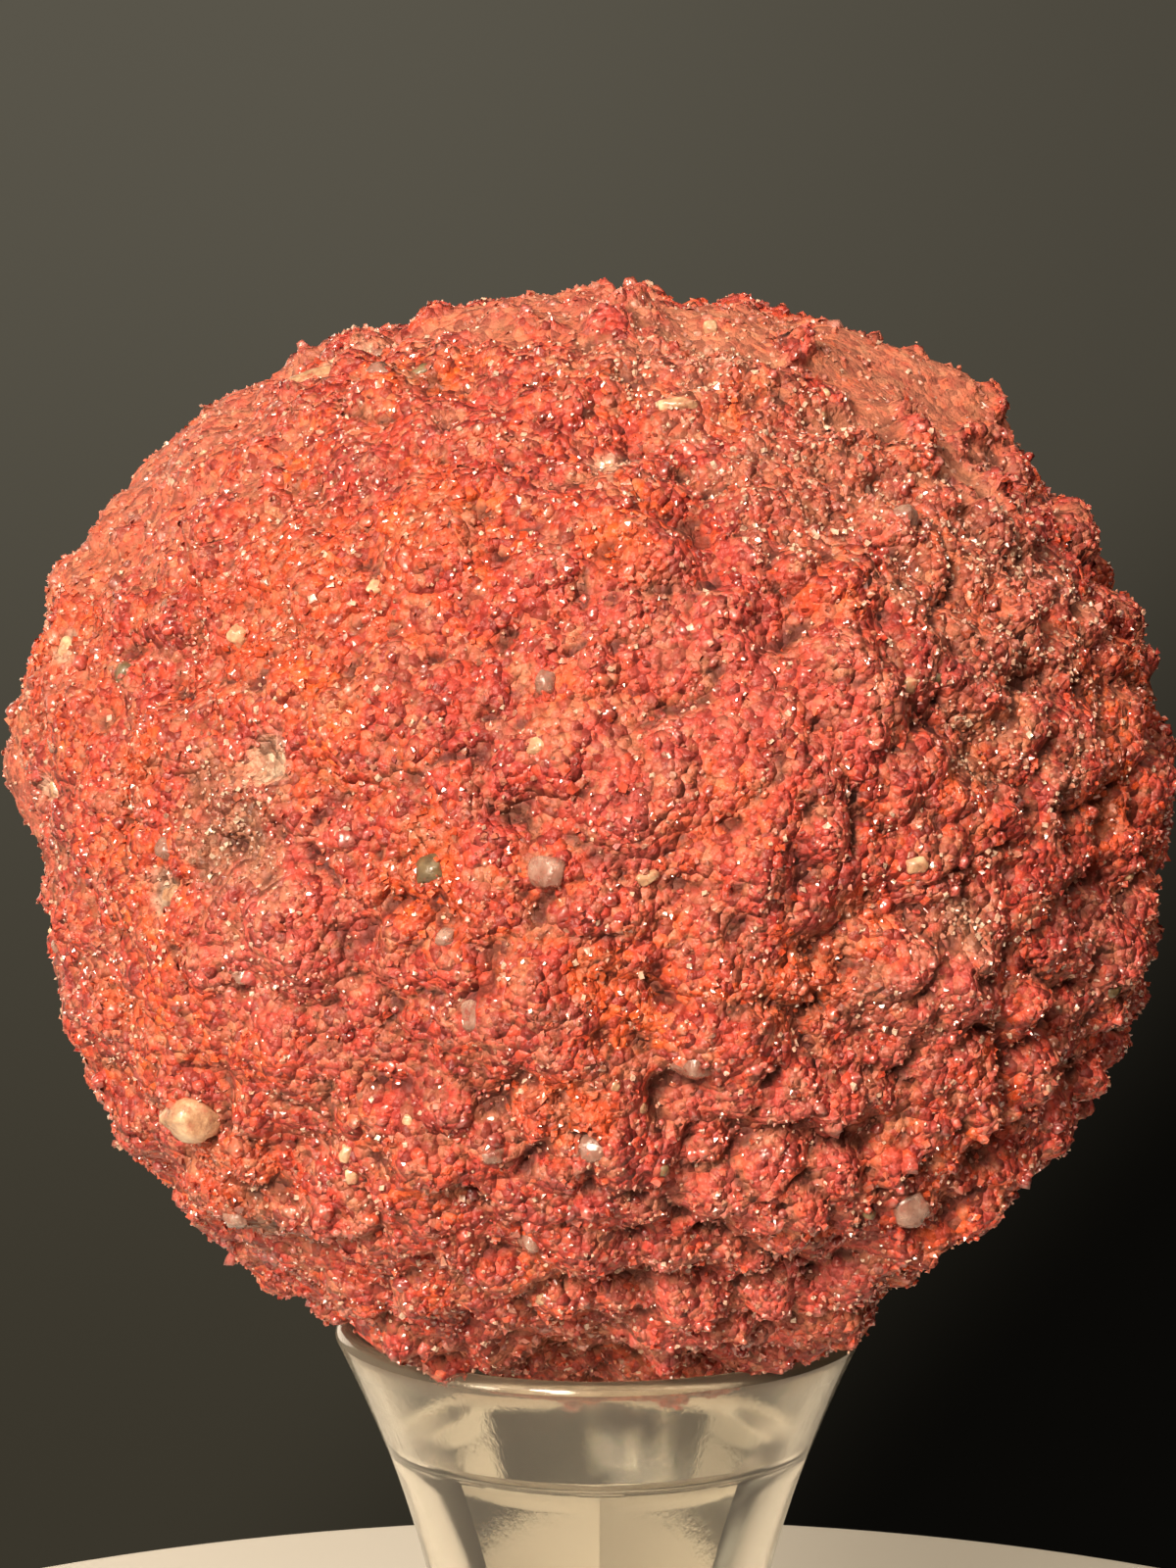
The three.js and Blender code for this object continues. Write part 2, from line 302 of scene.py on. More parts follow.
def mesh_object(name: str, points: np.ndarray, faces: np.ndarray, smooth: bool, uv: np.ndarray) -> bpy.types.Object:
    """Makes an object from arrays.

    Args:
        name: the piece's name.
        points: the points, in metres.
        faces: one row of point numbers to a face, all rows of one length.
        smooth: whether it is shaded smooth.
        uv: one pair for each corner of each face, for the map that finishes are baked to.

    Returns:
        The object, in the scene.
    """
    count, corners = faces.shape
    mesh = bpy.data.meshes.new(name)
    mesh.vertices.add(len(points))
    mesh.vertices.foreach_set("co", points.astype(np.float32).ravel())
    mesh.loops.add(count * corners)
    mesh.loops.foreach_set("vertex_index", faces.astype(np.int32).ravel())
    mesh.polygons.add(count)
    mesh.polygons.foreach_set("loop_start", np.arange(0, count * corners, corners, dtype=np.int32))
    mesh.polygons.foreach_set("use_smooth", np.full(count, smooth))
    mesh.uv_layers.new(name=BAKE_MAP).data.foreach_set("uv", uv.astype(np.float32).ravel())
    mesh.update(calc_edges=True)
    mesh.validate()
    piece = bpy.data.objects.new(name, mesh)
    bpy.context.scene.collection.objects.link(piece)
    return piece


def carry(mesh: bpy.types.Mesh, name: str, values: np.ndarray) -> None:
    """Lets a mesh carry a number at each point, for its finish to read."""
    mesh.attributes.new(name, "FLOAT", "POINT").data.foreach_set("value", values.astype(np.float32))


def settle(piece: bpy.types.Object) -> None:
    """Makes a piece ride on the model's body."""
    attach(piece, BODY)


def tree_of(spots: np.ndarray) -> KDTree:
    """A tree that finds the nearest of many spots."""
    tree = KDTree(len(spots))
    for i, spot in enumerate(spots):
        tree.insert(spot, i)
    tree.balance()
    return tree


def ball(level: int) -> tuple[np.ndarray, np.ndarray]:
    """A ball of radius 1 made of near-equal triangles.

    Args:
        level: 1 for 20 triangles, and four times as many for each level more.

    Returns:
        Its points and triangles.
    """
    shape = bmesh.new()
    bmesh.ops.create_icosphere(shape, subdivisions=level, radius=1.0)
    points = np.array([vertex.co for vertex in shape.verts])
    faces = np.array([[vertex.index for vertex in face.verts] for face in shape.faces])
    shape.free()
    return points, faces


def turns_outward(outward: np.ndarray, tilt: float, random: np.random.Generator) -> np.ndarray:
    """Rotation matrices that stand things roughly outward, with a random spin.

    Args:
        outward: one unit direction to a row.
        tilt: how far they lean from it: 0 is not at all and 1 is every way.
        random: the source of chance.

    Returns:
        One 3 by 3 matrix for each, whose rows are where a thing's own X, Y and Z go.
    """
    up = outward + tilt * random.normal(size=outward.shape)
    up /= np.linalg.norm(up, axis=1, keepdims=True)
    side = np.cross(up, random.normal(size=outward.shape))
    side /= np.linalg.norm(side, axis=1, keepdims=True)
    return np.stack([side, np.cross(up, side), up], axis=1)


def edges_of(quads: np.ndarray) -> np.ndarray:
    """Each pair of points that share an edge, once."""
    sides = np.concatenate([quads[:, [k, (k + 1) % 4]] for k in range(4)])
    return np.unique(np.sort(sides, axis=1), axis=0)


def evened(values: np.ndarray, edges: np.ndarray, passes: int) -> np.ndarray:
    """Values eased towards the mean of their neighbours.

    Args:
        values: one row to a point.
        edges: pairs of neighbouring points.
        passes: how often they are eased.

    Returns:
        The eased values.
    """
    count = len(values)
    eased = values.reshape(count, -1).copy()
    ends, others = np.concatenate([edges, edges[:, ::-1]]).T
    share = np.bincount(ends, minlength=count)[:, None]
    for _ in range(passes):
        sums = [np.bincount(ends, column[others], count) for column in eased.T]
        eased += 0.5 * (np.stack(sums, 1) / share - eased)
    return eased.reshape(values.shape)


def normals_of(points: np.ndarray, quads: np.ndarray) -> np.ndarray:
    """The way that the surface faces at each point.

    Args:
        points: the points.
        quads: the faces, with their corners anticlockwise from outside.

    Returns:
        Unit normals.
    """
    a, b, c, d = (points[quads[:, k]] for k in range(4))
    facing = np.cross(c - a, d - b)
    normals = np.zeros_like(points)
    for k in range(4):
        np.add.at(normals, quads[:, k], facing)
    return normals / np.linalg.norm(normals, axis=1, keepdims=True)


def even_directions(count: int, jitter: float, random: np.random.Generator) -> np.ndarray:
    """Directions spread evenly over a ball on a spiral, each moved a little.

    Args:
        count: how many.
        jitter: how far each may move, as a share of their spacing.
        random: the source of chance.

    Returns:
        One unit direction to a row.
    """
    i = np.arange(count)
    z = 1 - 2 * (i + 0.5) / count
    ring, turn = np.sqrt(1 - z * z), i * math.pi * (3 - math.sqrt(5))
    spots = np.stack([ring * np.cos(turn), ring * np.sin(turn), z], axis=1)
    spots += (random.random((count, 3)) - 0.5) * 2 * jitter * math.sqrt(4 * math.pi / count)
    return spots / np.linalg.norm(spots, axis=1, keepdims=True)


class Tone(Enum):
    """The rock's own colours, and SHADE, a dark red-brown that is painted as shade into the deep hollows and also
    colours small random dark specks.
    """

    CRIMSON = paint("9E322E")
    RED = paint("B03A30")
    VERMILION = paint("BC422A")
    ORANGE = paint("D25420")
    ROSE = paint("C2564E")
    SALMON = paint("BC7258")
    TAN = paint("A6745A")
    BROWN = paint("6E4A38")
    # painted shade: darkens the deep hollows, and also small random specks
    SHADE = paint("3A140C")
    PALE = paint("E4CAB0")
    OLIVE = paint("6A573C")


class Tint(Enum):
    """The ways in which the rock's colour shifts from place to place, by the name that the meshes carry."""

    ORANGE = "orange"
    ROSE = "rose"
    SALMON = "salmon"
    TAN = "tan"
    BROWN = "brown"
    PALE = "pale"


@dataclass(frozen=True)
class Patch:
    """A place where the rock's colour shifts."""

    tint: Tint
    around: float
    out: float
    radius_mm: float
    strength: float


PATCHES = (
    Patch(Tint.ORANGE, 327, 24, 1.7, 1.0),
    Patch(Tint.ORANGE, 276, 11, 0.9, 0.9),
    Patch(Tint.ORANGE, 264, 25, 1.7, 0.9),
    Patch(Tint.ORANGE, 145, 36, 4.0, 0.5),
    Patch(Tint.ORANGE, 174, 46, 2.0, 0.8),
    Patch(Tint.ORANGE, 201, 52, 1.6, 0.8),
    Patch(Tint.ORANGE, 82, 25, 1.1, 0.9),
    Patch(Tint.ORANGE, 16, 72, 1.6, 0.8),
    Patch(Tint.ORANGE, 3, 57, 1.4, 0.7),
    Patch(Tint.ORANGE, 196, 15, 1.9, 0.7),
    Patch(Tint.ORANGE, 224, 50, 2.0, 0.6),
    Patch(Tint.ORANGE, 160, 70, 5.0, 0.4),
    Patch(Tint.ORANGE, 118, 32, 2.2, 0.5),
    Patch(Tint.ORANGE, 60, 140, 5.0, 0.5),
    Patch(Tint.ORANGE, 215, 128, 4.0, 0.6),
    Patch(Tint.ROSE, 31, 25, 2.0, 0.7),
    Patch(Tint.ROSE, 14, 6, 3.0, 0.5),
    Patch(Tint.ROSE, 295, 36, 3.4, 0.7),
    Patch(Tint.ROSE, 337, 38, 3.0, 0.7),
    Patch(Tint.ROSE, 61, 16, 4.0, 0.5),
    Patch(Tint.ROSE, 198, 30, 3.6, 0.6),
    Patch(Tint.ROSE, 350, 55, 3.0, 0.5),
    Patch(Tint.ROSE, 285, 54, 5.5, 0.7),
    Patch(Tint.ROSE, 120, 130, 6.0, 0.5),
    Patch(Tint.SALMON, 57, 68, 6.5, 1.0),
    Patch(Tint.SALMON, 76, 66, 5.0, 0.8),
    # the salmon patches near the edge as seen from the front, at around 96, 140 and 180, are partly dust and partly a
    # painted sheen for the edge's pale, grazing look
    Patch(Tint.SALMON, 96, 72, 6.0, 0.7),
    Patch(Tint.SALMON, 140, 76, 8.0, 0.6),
    Patch(Tint.SALMON, 180, 82, 6.0, 0.6),
    Patch(Tint.SALMON, 268, 66, 4.0, 0.5),
    Patch(Tint.SALMON, 340, 128, 6.0, 0.6),
    Patch(Tint.TAN, 32, 48, 5.5, 0.5),
    Patch(Tint.TAN, 56, 44, 4.0, 0.45),
    Patch(Tint.TAN, 78, 50, 3.4, 0.5),
    Patch(Tint.TAN, 345, 37, 1.3, 0.9),
    Patch(Tint.TAN, 176, 33, 2.4, 0.6),
    Patch(Tint.TAN, 250, 120, 6.0, 0.5),
    Patch(Tint.BROWN, 181, 32, 1.9, 0.8),
    Patch(Tint.BROWN, 232, 54, 1.7, 1.0),
    Patch(Tint.BROWN, 109, 53, 0.9, 0.8),
    Patch(Tint.BROWN, 330, 31, 1.6, 0.6),
    Patch(Tint.BROWN, 12, 36, 1.5, 0.5),
    Patch(Tint.BROWN, 290, 120, 3.0, 0.7),
    Patch(Tint.PALE, 117, 68, 1.7, 1.0),
    Patch(Tint.PALE, 166, 31, 1.1, 1.0),
    Patch(Tint.PALE, 188, 42, 0.6, 1.0),
    Patch(Tint.PALE, 160, 66, 0.6, 0.9),
    Patch(Tint.PALE, 175, 64, 0.5, 0.9),
    Patch(Tint.PALE, 86, 36, 0.8, 0.6),
    Patch(Tint.PALE, 30, 150, 1.6, 0.9),
)


def tint_strengths(spots: np.ndarray, mean_mm: float) -> dict[Tint, np.ndarray]:
    """How strong each tint is at each spot, with ragged edges.

    Args:
        spots: points near the stone's surface, from its middle, in millimetres.
        mean_mm: the stone's mean radius.

    Returns:
        A strength from 0 to 1 for each spot, by tint.
    """
    directions = spots / np.linalg.norm(spots, axis=1, keepdims=True)
    ragged = np.array([noise.fractal(Vector(spot) * 0.45, 0.7, 2.1, 4) for spot in directions * mean_mm])
    strengths = {tint: np.zeros(len(spots)) for tint in Tint}
    for patch in PATCHES:
        away = np.arccos(np.clip(directions @ toward(patch.around, patch.out), -1, 1)) * mean_mm
        share = np.clip((patch.radius_mm * (1 + 0.8 * ragged) - away) / (0.6 * patch.radius_mm) + 0.5, 0, 1)
        mask = share * share * (3 - 2 * share) * patch.strength
        strengths[patch.tint] = np.maximum(strengths[patch.tint], mask)
    return strengths


@dataclass
class Lumps:
    """One size of lumps over the whole stone."""

    spacing_mm: float
    height_mm: tuple[float, float]
    reach: float
    seed: int
    nearest: int = 5
    steepness: float = 0.75

    def relief(self, spots: np.ndarray, mean_mm: float) -> np.ndarray:
        """How far these lumps stand out at each spot.

        Args:
            spots: points on a ball of the mean radius, in millimetres.
            mean_mm: that radius.

        Returns:
            Heights in millimetres, one to a spot.
        """
        random = np.random.default_rng(self.seed)
        count = int(4 * math.pi * mean_mm**2 / (self.spacing_mm**2 * 0.87))
        centres = even_directions(count, 0.6, random) * mean_mm
        low, high = self.height_mm
        heights = low + (high - low) * random.random(count)
        widths = self.spacing_mm * self.reach * (0.75 + 0.5 * random.random(count))
        tree = tree_of(centres)
        relief = np.zeros(len(spots))
        for k, spot in enumerate(spots):
            best = 0.0
            for _, i, away in tree.find_n(spot, self.nearest):
                share = away / widths[i]
                if share < 1:
                    best = max(best, heights[i] * (1 - share**2) ** self.steepness)
            relief[k] = best
        return relief


@dataclass(frozen=True)
class Swell:
    """A broad, shallow rise or dip of the stone's form."""

    around: float
    out: float
    radius_mm: float
    height_mm: float

    def relief(self, directions: np.ndarray, mean_mm: float) -> np.ndarray:
        """How far it lifts the surface in each direction.

        Args:
            directions: unit directions from the stone's middle.
            mean_mm: the stone's mean radius.

        Returns:
            Heights in millimetres, one to a direction.
        """
        away = np.arccos(np.clip(directions @ toward(self.around, self.out), -1, 1)) * mean_mm
        return self.height_mm * np.clip(1 - (away / self.radius_mm) ** 2, 0, 1) ** 2


@dataclass
class Nodule:
    """The stone's own surface: the CAD form made smooth, then covered in lumps, cracks and pits."""

    node: str = "cinnabar"
    cells_per_side: int = 128
    form_passes: int = 8
    shake_mm: float = 0.42
    pit_count: int = 1300
    pit_width_mm: tuple[float, float] = (0.24, 0.6)
    pit_depth_mm: tuple[float, float] = (0.12, 0.5)
    crack_depth_mm: float = 0.45
    lumps: tuple[Lumps, ...] = (
        Lumps(3.4, (0.1, 0.95), 0.76, 11),
        Lumps(1.9, (0.1, 1.05), 0.74, 12),
        Lumps(1.05, (0.05, 0.45), 0.72, 13, 4),
    )
    swells: tuple[Swell, ...] = (
        Swell(150, 78, 5.5, 0.9),
        Swell(176, 78, 4.5, 0.85),
        Swell(132, 80, 6.0, 0.35),
        Swell(57, 78, 5.0, 0.6),
        Swell(295, 78, 3.0, 0.6),
        Swell(80, 80, 4.5, -0.9),
        Swell(98, 80, 4.0, -0.7),
        Swell(118, 80, 4.0, -0.6),
        Swell(14, 80, 4.5, -0.35),
        Swell(357, 80, 4.5, -1.1),
        Swell(332, 80, 5.0, -1.5),
        Swell(315, 80, 5.0, -1.0),
        Swell(301, 80, 4.0, -0.6),
        Swell(230, 80, 2.5, -0.5),
        Swell(196, 80, 4.0, -0.8),
    )

    def __post_init__(self) -> None:
        """Finds the stone's middle and mean radius from its CAD node."""
        low, high = (np.array(corner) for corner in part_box(self.node))
        self.middle = (low + high) / 2
        self.mean_mm = float((high - low).mean() / 2 / MM)

    def lattice(self) -> tuple[np.ndarray, np.ndarray, np.ndarray]:
        """A cube's six faces of small squares, blown up to a ball.

        Returns:
            Unit directions, quads, and a UV pair for each corner of each quad.
        """
        n = self.cells_per_side
        steps = np.arange(-n, n + 1, 2)
        i, j = np.meshgrid(np.arange(n), np.arange(n), indexing="ij")
        corner = i * (n + 1) + j
        cell = np.stack([corner, corner + n + 1, corner + n + 2, corner + 1], -1).reshape(-1, 4)
        inset = 0.98
        across = (np.stack([i, i + 1, i + 1, i], -1).reshape(-1, 4) / n - 0.5) * inset + 0.5
        upward = (np.stack([j, j, j + 1, j + 1], -1).reshape(-1, 4) / n - 0.5) * inset + 0.5
        keys, quads, uv = [], [], []
        for number in range(6):
            axis, sign = number // 2, (1, -1)[number % 2]
            first, second = ((axis + 1) % 3, (axis + 2) % 3)[::sign]
            grid = np.zeros((n + 1, n + 1, 3), dtype=np.int64)
            grid[..., axis] = sign * n
            grid[..., first] = steps[:, None]
            grid[..., second] = steps[None, :]
            keys.append(grid.reshape(-1, 3))
            quads.append(cell + number * (n + 1) ** 2)
            uv.append(np.stack([(number % 3 + across) / 3, (number // 3 + upward) / 2], -1))
        unique, where = np.unique(np.concatenate(keys), axis=0, return_inverse=True)
        spots = np.tan(unique / n * math.pi / 4)
        spots /= np.linalg.norm(spots, axis=1, keepdims=True)
        return spots, where.reshape(-1)[np.concatenate(quads)], np.concatenate(uv)

    def cad_points(self, directions: np.ndarray) -> np.ndarray:
        """Where each direction leaves the CAD solid.

        Args:
            directions: unit directions from the stone's middle.

        Returns:
            Points in metres.
        """
        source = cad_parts[self.node]
        corners = [vertex.co for vertex in source.data.vertices]
        tree = BVHTree.FromPolygons(corners, [list(face.vertices) for face in source.data.polygons])
        middle = Vector(self.middle)
        return np.array([tree.ray_cast(middle, Vector(direction))[0] for direction in directions])

    def cracks(self, spots: np.ndarray) -> np.ndarray:
        """Thin winding cracks, more of them on the right.

        Args:
            spots: points on a ball of the mean radius, in millimetres.

        Returns:
            Depths in millimetres, below zero.
        """
        depth = np.zeros(len(spots))
        for k, (x, y, z) in enumerate(spots):
            line = abs(noise.noise((x * 0.15, y * 0.15, z * 0.26 + 7.0)))
            if line < 0.04:
                patch = noise.noise((x * 0.1 + 3.0, y * 0.1, z * 0.1)) + 0.2 * x / self.mean_mm
                depth[k] = -(1 - line / 0.04) * min(max(patch * 4 + 0.35, 0.0), 1.0)
        return depth * self.crack_depth_mm

    def pits(self, spots: np.ndarray) -> np.ndarray:
        """Small dark holes between the grains.

        Args:
            spots: points on a ball of the mean radius, in millimetres.

        Returns:
            Depths in millimetres, below zero.
        """
        random = np.random.default_rng(29)
        centres = even_directions(self.pit_count, 0.9, random) * self.mean_mm
        low, high = self.pit_width_mm
        widths = low + (high - low) * random.random(self.pit_count) ** 2
        low, high = self.pit_depth_mm
        depths = low + (high - low) * random.random(self.pit_count)
        tree = tree_of(centres)
        relief = np.zeros(len(spots))
        for k, spot in enumerate(spots):
            _, i, away = tree.find(spot)
            share = away / widths[i]
            if share < 1:
                relief[k] = -depths[i] * (1 - share**2)
        return relief

    def build(self) -> bpy.types.Object:
        """Builds the surface with what its finish reads.

        Returns:
            The stone, riding on the model's body in place of its CAD node.
        """
        directions, quads, uv = self.lattice()
        edges = edges_of(quads)
        form = evened(self.cad_points(directions), edges, self.form_passes)
        spots = directions * self.mean_mm
        shaken = spots + self.shake_mm * np.array([noise.noise_vector(Vector(s) * 0.55) for s in spots])
        self.tints = tint_strengths(spots, self.mean_mm)
        rough_side = 0.9 + 0.25 * directions[:, 0] - 0.15 * directions[:, 2]
        lively = rough_side * (1 - 0.75 * self.tints[Tint.SALMON]) * (1 - 0.5 * self.tints[Tint.PALE])
        relief = sum(size.relief(shaken, self.mean_mm) for size in self.lumps) * lively
        relief -= float(relief.mean())
        relief += sum(swell.relief(directions, self.mean_mm) for swell in self.swells)
        relief += (self.cracks(shaken) + self.pits(spots)) * lively
        self.points = form + directions * relief[:, None] * MM
        self.normals = normals_of(self.points, quads)
        local = relief - evened(relief, edges, 18)
        self.hollow = np.clip(-local / 0.3, 0, 1)
        self.crown = np.clip(local / 0.3, 0, 1)
        stone = mesh_object("cinnabar_stone", self.points, quads, True, uv)
        carry(stone.data, "hollow", self.hollow)
        carry(stone.data, "crown", self.crown)
        for tint, strength in self.tints.items():
            carry(stone.data, tint.value, strength)
        settle(stone)
        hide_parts(self.node)
        return stone


@dataclass(frozen=True)
class RockFinish:
    """Red, granular cinnabar rock with a wet-looking glint."""

    grain_per_mm: float = 2.6
    facet_per_mm: float = 5.5

    def material(self) -> bpy.types.Material:
        """Makes the finish of the stone's own surface."""
        s = NodeSheet(bpy.data.materials.new("cinnabar_rock"))
        at = s.millimetres()
        hollow = s.attribute("hollow")
        cell = s.cells(at, self.grain_per_mm)
        red, green = s.parts(cell.beside("Color"))
        colour = rock_colour(s, at, red)
        colour = s.mix(green.above(0.9) * 0.4, colour, Tone.SALMON.value)
        speck = s.noise(at, 4.5, 3.0, 0.6)
        colour = s.mix(speck.rising(0.46, 0.3) * 0.5, colour, Tone.SHADE.value)
        mud = s.noise(at, 0.3, 4.0, 0.6).rising(0.42, 0.58) * s.noise(at, 3.4, 3.0, 0.6).rising(0.4, 0.56)
        colour = s.mix(hollow.rising(0.0, 0.4) * (0.1 + 0.6 * mud), colour, paint("9A5C40"))
        # painted shade: the deep hollows are darkened towards dark red-brown
        colour = s.mix(hollow.rising(0.35, 0.9) * 0.7, colour, Tone.SHADE.value)
        calm = 1 - 0.85 * s.attribute("salmon")
        height = (0.8 * s.facets(at, self.facet_per_mm) + 0.3 * (1 - cell * cell)) * calm + 0.12 * speck
        return s.finish({
            "Base Color": colour,
            "Roughness": 0.65 - 0.33 * calm + 0.25 * speck + 0.3 * hollow,
            "Normal": s.bump(height),
            "IOR": 1.5,
        })


def rock_colour(s: NodeSheet, at: Wire, chance: Wire) -> Wire:
    """The rock's red with its shifts from place to place and from grain to grain, with the crowns of lumps lighter,
    partly as painted highlight, and a grain-to-grain brightness that is partly painted shade and highlight.

    Args:
        s: the sheet to build on.
        at: where to read it, in millimetres.
        chance: a random number that each grain has of its own.

    Returns:
        The colour.
    """
    broad = s.noise(at, 0.22, 2.0, 0.6)
    colour = s.ramp(0.75 * broad + 0.25 * chance, [
        (0.34, Tone.CRIMSON.value),
        (0.46, Tone.RED.value),
        (0.58, Tone.VERMILION.value),
        (0.72, Tone.ORANGE.value),
    ])
    wander = s.noise(at, 1.4, 2.0, 0.6).rising(0.32, 0.6)
    tones = {
        Tint.ORANGE: Tone.ORANGE,
        Tint.ROSE: Tone.ROSE,
        Tint.SALMON: Tone.SALMON,
        Tint.TAN: Tone.TAN,
        Tint.BROWN: Tone.BROWN,
        Tint.PALE: Tone.PALE,
    }
    for tint, tone in tones.items():
        colour = s.mix(s.attribute(tint.value) * (0.45 + 0.45 * wander), colour, tone.value)
    # crowns of lumps made rose: partly the knobs' own pinker tone, partly a painted highlight on the tops of the lumps
    colour = s.mix(s.attribute("crown") * 0.4, colour, Tone.ROSE.value)
    dust = s.noise(at, 0.8, 3.0, 0.7).rising(0.46, 0.64) * (0.2 + 0.5 * chance)
    colour = s.mix(dust, colour, Tone.TAN.value)
    # grain-to-grain brightness: partly the grains' own random tone, partly painted shade and painted highlight
    # standing in for tiny shadows and glints
    shade = s.ramp(chance, [
        (0.0, (0.5, 0.46, 0.44, 1.0)),
        (0.5, (1.0, 1.0, 1.0, 1.0)),
        (1.0, (1.35, 1.4, 1.35, 1.0)),
    ])
    return s.mix(0.8, colour, shade, "MULTIPLY")


class GrainShape(Enum):
    """What a small grain is shaped like. A block and a shard have no underside, because it is in the rock."""

    NUGGET = "nugget"
    BLOCK = "block"
    SHARD = "shard"

    def template(self) -> tuple[np.ndarray, np.ndarray]:
        """The shape's points and triangles."""
        if self is GrainShape.NUGGET:
            return ball(1)
        if self is GrainShape.BLOCK:
            corners = np.array([(x, y, z) for x in (-1, 1) for y in (-1, 1) for z in (-1, 1)]) * 0.62
            sides = ((0, 1, 3, 2), (4, 6, 7, 5), (0, 4, 5, 1), (2, 3, 7, 6), (1, 5, 7, 3))
            return corners, np.array([t for a, b, c, d in sides for t in ((a, b, c), (a, c, d))])
        turn = np.arange(6) * math.pi / 3
        ring = np.stack([np.cos(turn), np.sin(turn), np.full(6, -0.4)], 1)
        return np.concatenate([ring, [(0, 0, 0.75)]]), np.array([(i, (i + 1) % 6, 6) for i in range(6)])


@dataclass
class GrainCoat:
    """Many small grains of one kind, half sunk in the stone's surface and joined in one mesh."""

    name: str
    shape: GrainShape
    count: int
    width_mm: tuple[float, float]
    tone: Tone
    own_share: float
    roughness: float
    smooth: bool
    seed: int
    favours: Tint | None = None
    hollow: float = -0.35
    sink: float = 0.2
    tilt: float = 0.35
    ragged: float = 0.55

    def build(self, nodule: Nodule) -> bpy.types.Object:
        """Scatters the grains over the stone.

        Args:
            nodule: the built stone.

        Returns:
            The joined grains.
        """
        random = np.random.default_rng(self.seed)
        weight = (1 + self.hollow * nodule.hollow) * (1 - 0.7 * nodule.tints[Tint.SALMON])
        weight *= 1 - 0.8 * nodule.tints[Tint.PALE]
        if self.favours:
            weight *= 0.35 + 3.0 * nodule.tints[self.favours]
        picked = random.choice(len(weight), self.count, replace=False, p=weight / weight.sum())
        base, faces = self.shape.template()
        points = np.repeat(base[None], self.count, axis=0)
        points += (random.random(points.shape) - 0.5) * self.ragged
        low, high = self.width_mm
        across = low + (high - low) * random.random(self.count) ** 1.8
        stretch = 0.75 + 0.5 * random.random((self.count, 1, 3))
        turns = turns_outward(nodule.normals[picked], self.tilt, random)
        points = np.einsum("gpi,gij->gpj", points * stretch, turns)
        points *= (across / 2)[:, None, None]
        place = nodule.points[picked] / MM + (random.random((self.count, 3)) - 0.5) * 0.22
        place -= nodule.normals[picked] * (across * self.sink)[:, None]
        world = (points + place[:, None, :]).reshape(-1, 3) * MM
        step = len(base)
        triangles = (faces[None] + np.arange(self.count)[:, None, None] * step).reshape(-1, 3)
        grains = mesh_object(self.name, world, triangles, self.smooth, self.cells_uv(base, faces))
        carry(grains.data, "chance", np.repeat(random.random(self.count), step))
        carry(grains.data, "crown", np.repeat(nodule.crown[picked], step))
        for tint, strength in nodule.tints.items():
            carry(grains.data, tint.value, np.repeat(strength[picked], step))
        settle(grains)
        grains.data.materials.append(self.material())
        return grains

    def cells_uv(self, base: np.ndarray, faces: np.ndarray) -> np.ndarray:
        """A small square of the baked map for each grain.

        Args:
            base: the shape's points.
            faces: its triangles.

        Returns:
            A UV pair for each corner of each triangle.
        """
        side = math.ceil(math.sqrt(self.count))
        flat = (base[:, :2] * 0.3 + 0.5)[faces.reshape(-1)]
        number = np.arange(self.count)
        cell = np.stack([number % side, number // side], 1)
        return ((cell[:, None, :] + flat[None]) / side).reshape(-1, 2)

    def material(self) -> bpy.types.Material:
        """Makes the grains' finish."""
        s = NodeSheet(bpy.data.materials.new(self.name))
        at = s.millimetres()
        chance = s.attribute("chance")
        colour = s.mix(self.own_share, rock_colour(s, at, chance), self.tone.value)
        streak = s.noise(at, 3.0, 2.0, 0.6)
        colour = s.mix(streak.rising(0.45, 0.3) * 0.35, colour, Tone.BROWN.value)
        height = 0.8 * s.facets(at, 5.6)
        dry = s.noise(at, 0.3, 2.0, 0.6).rising(0.44, 0.6)
        return s.finish({
            "Base Color": colour,
            "Roughness": self.roughness + 0.12 * chance + 0.2 * dry + 0.3 * s.attribute("salmon"),
            "Normal": s.bump(height),
            "IOR": 2.15,
        })


COATS = (
    GrainCoat("crimson_grains", GrainShape.NUGGET, 4600, (0.3, 0.7), Tone.CRIMSON, 0.15, 0.2, True, 41),
    GrainCoat("red_sand", GrainShape.SHARD, 25000, (0.2, 0.46), Tone.RED, 0.1, 0.12, False, 42),
    GrainCoat("orange_sand", GrainShape.BLOCK, 9000, (0.2, 0.44), Tone.ORANGE, 0.3, 0.14, False, 43, Tint.ORANGE),
    GrainCoat("salmon_dust", GrainShape.SHARD, 26000, (0.14, 0.34), Tone.SALMON, 0.55, 0.1, False, 44),
    GrainCoat("quartz_sand", GrainShape.BLOCK, 11000, (0.1, 0.28), Tone.PALE, 0.65, 0.1, False, 45, Tint.TAN),
    GrainCoat("brown_sand", GrainShape.SHARD, 16000, (0.14, 0.36), Tone.TAN, 0.6, 0.24, False, 46, Tint.TAN, 2.0),
)


class InsetKind(Enum):
    """What a larger grain, big enough to see by itself, is made of."""

    PEBBLE = "pale_pebbles"
    QUARTZ = "clear_quartz_grains"
    DARK = "dark_grains"


@dataclass(frozen=True)
class Inset:
    """One larger grain held in the rock."""

    kind: InsetKind
    around: float
    out: float
    size_mm: tuple[float, float, float]
    spin: float = 0.0


